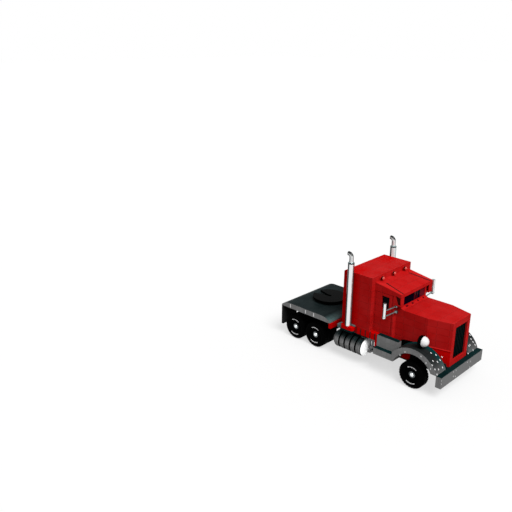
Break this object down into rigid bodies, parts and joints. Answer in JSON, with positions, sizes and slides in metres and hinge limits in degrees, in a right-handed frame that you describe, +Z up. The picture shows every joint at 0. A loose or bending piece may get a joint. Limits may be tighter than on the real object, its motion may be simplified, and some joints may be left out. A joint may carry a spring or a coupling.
{
  "type": "toy semi tractor unit",
  "caption": "Brick-built toy semi tractor with a long tapering hood, sleeper cab, hinged doors, tall exhaust stacks, ribbed fuel tanks, rolling wheels and a round coupling plate.",
  "frame": {"origin": "on the ground, midway along and across the truck", "axes": "+X forward, +Y to the truck's left, +Z up"},
  "size_m": [0.28, 0.1296, 0.166],
  "materials": {
    "red_plastic": "glossy moulded ABS",
    "grey_plastic": "glossy moulded ABS",
    "black_plastic": "glossy moulded ABS",
    "black_rubber": "moulded rubber",
    "chrome": "chrome-plated plastic",
    "marker_red": "clear red moulded plastic",
    "tinted_glass": "smoked clear plastic"
  },
  "bodies": {
    "chassis": {"body_floor": "red_plastic", "bumper": "grey_plastic", "cab_roof": "red_plastic", "cab_shell": "red_plastic", "chassis_frame": "black_plastic", "deck": "grey_plastic", "deck_panel": "red_plastic", "exhaust_left": "chrome", "exhaust_right": "chrome", "fifth_wheel": "black_plastic", "front_axle": "black_plastic", "front_fender_left": "grey_plastic", "front_fender_right": "grey_plastic", "fuel_tank_left": "grey_plastic", "fuel_tank_right": "grey_plastic", "grille": "black_plastic", "headlamp_left": "chrome", "headlamp_right": "chrome", "hood": "red_plastic", "marker_lights": "marker_red", "mid_axle": "black_plastic", "mirror_left": "chrome", "mirror_right": "chrome", "mud_flaps": "black_plastic", "rear_axle": "black_plastic", "seats": "black_plastic", "sleeper_roof": "red_plastic", "sleeper_shell": "red_plastic", "steering_wheel": "black_plastic", "step_left": "grey_plastic", "step_right": "grey_plastic", "windscreen": "tinted_glass"},
    "front_wheel_left": {"front_tyre_left": "black_rubber", "front_rim_left": "black_plastic"},
    "front_wheel_right": {"front_tyre_right": "black_rubber", "front_rim_right": "black_plastic"},
    "mid_wheel_left": {"mid_tyres_left": "black_rubber", "mid_rim_left": "black_plastic"},
    "mid_wheel_right": {"mid_tyres_right": "black_rubber", "mid_rim_right": "black_plastic"},
    "rear_wheel_left": {"rear_tyres_left": "black_rubber", "rear_rim_left": "black_plastic"},
    "rear_wheel_right": {"rear_tyres_right": "black_rubber", "rear_rim_right": "black_plastic"},
    "door_left_body": {"door_left": "red_plastic", "door_glass_left": "tinted_glass"},
    "door_right_body": {"door_right": "red_plastic", "door_glass_right": "tinted_glass"}
  },
  "joints": [
    {"name": "front_wheel_left_spin", "type": "hinge", "parent": "chassis", "child": "front_wheel_left", "pos_m": [0.096, 0.049, 0.0195], "axis": [0, 1, 0], "continuous": true},
    {"name": "front_wheel_right_spin", "type": "hinge", "parent": "chassis", "child": "front_wheel_right", "pos_m": [0.096, -0.049, 0.0195], "axis": [0, 1, 0], "continuous": true},
    {"name": "mid_wheel_left_spin", "type": "hinge", "parent": "chassis", "child": "mid_wheel_left", "pos_m": [-0.072, 0.04, 0.0195], "axis": [0, 1, 0], "continuous": true},
    {"name": "mid_wheel_right_spin", "type": "hinge", "parent": "chassis", "child": "mid_wheel_right", "pos_m": [-0.072, -0.04, 0.0195], "axis": [0, 1, 0], "continuous": true},
    {"name": "rear_wheel_left_spin", "type": "hinge", "parent": "chassis", "child": "rear_wheel_left", "pos_m": [-0.112, 0.04, 0.0195], "axis": [0, 1, 0], "continuous": true},
    {"name": "rear_wheel_right_spin", "type": "hinge", "parent": "chassis", "child": "rear_wheel_right", "pos_m": [-0.112, -0.04, 0.0195], "axis": [0, 1, 0], "continuous": true},
    {"name": "door_left_hinge", "type": "hinge", "parent": "chassis", "child": "door_left_body", "pos_m": [0.0466, 0.037, 0.0864], "axis": [0, 0, -1], "range_deg": [0, 75]},
    {"name": "door_right_hinge", "type": "hinge", "parent": "chassis", "child": "door_right_body", "pos_m": [0.0466, -0.037, 0.0864], "axis": [0, 0, 1], "range_deg": [0, 75]}
  ]
}
